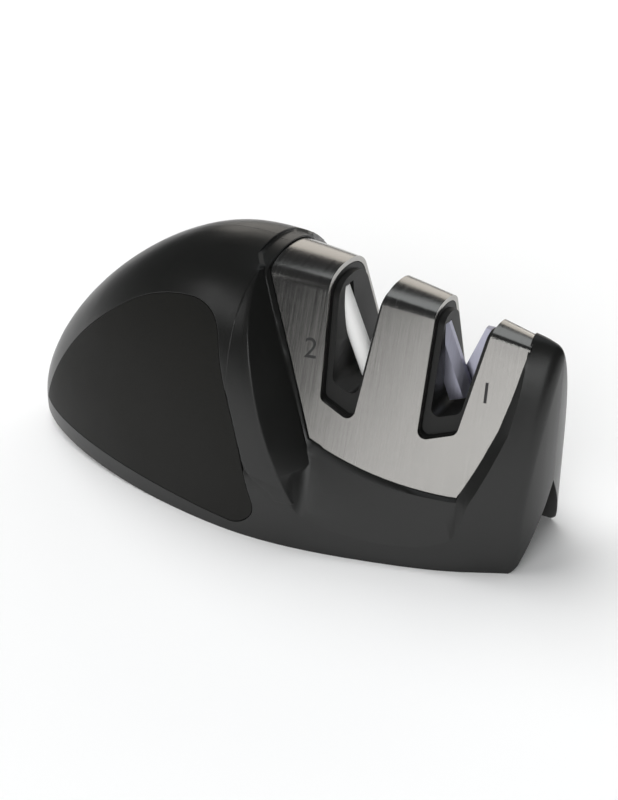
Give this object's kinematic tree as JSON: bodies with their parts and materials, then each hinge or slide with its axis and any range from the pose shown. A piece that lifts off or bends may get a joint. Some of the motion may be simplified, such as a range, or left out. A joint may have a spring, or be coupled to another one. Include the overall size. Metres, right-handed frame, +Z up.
{
  "type": "manual knife sharpener",
  "caption": "Palm-sized manual knife sharpener: domed housing, brushed-steel saddle with slots over crossed ceramic rods and carbide blades, rubber-lined V groove below.",
  "frame": {"origin": "middle of the footprint's box, on the plane that the foot pads stand on", "axes": "+X along the length towards the sharpening end, the dome's nose at -X; -Y is the front; +Z up"},
  "size_m": [0.1049, 0.0438, 0.0475],
  "materials": {
    "housing": "satin black moulded plastic",
    "grip": "soft-touch black",
    "steel": "brushed upright",
    "cassette": "dark grey moulded plastic",
    "ceramic": "unglazed white",
    "carbide": "ground tungsten carbide",
    "base": "black moulded plastic",
    "rubber": "matt dark grey",
    "screw": "zinc plated"
  },
  "bodies": {
    "root": {"base_frame": "base", "base_screw_1": "screw", "base_screw_2": "screw", "base_screw_3": "screw", "base_screw_4": "screw", "cassette_front": "cassette", "cassette_rear": "cassette", "cassette_screw_1": "screw", "cassette_screw_2": "screw", "coarse_blade_front": "carbide", "coarse_blade_rear": "carbide", "fine_rod_front": "ceramic", "fine_rod_rear": "ceramic", "front_foot_pad": "rubber", "front_grip_pad": "grip", "front_shell": "housing", "groove_liner": "rubber", "rear_foot_pad": "rubber", "rear_grip_pad": "grip", "rear_shell": "housing", "steel_saddle": "steel"}
  },
  "joints": []
}
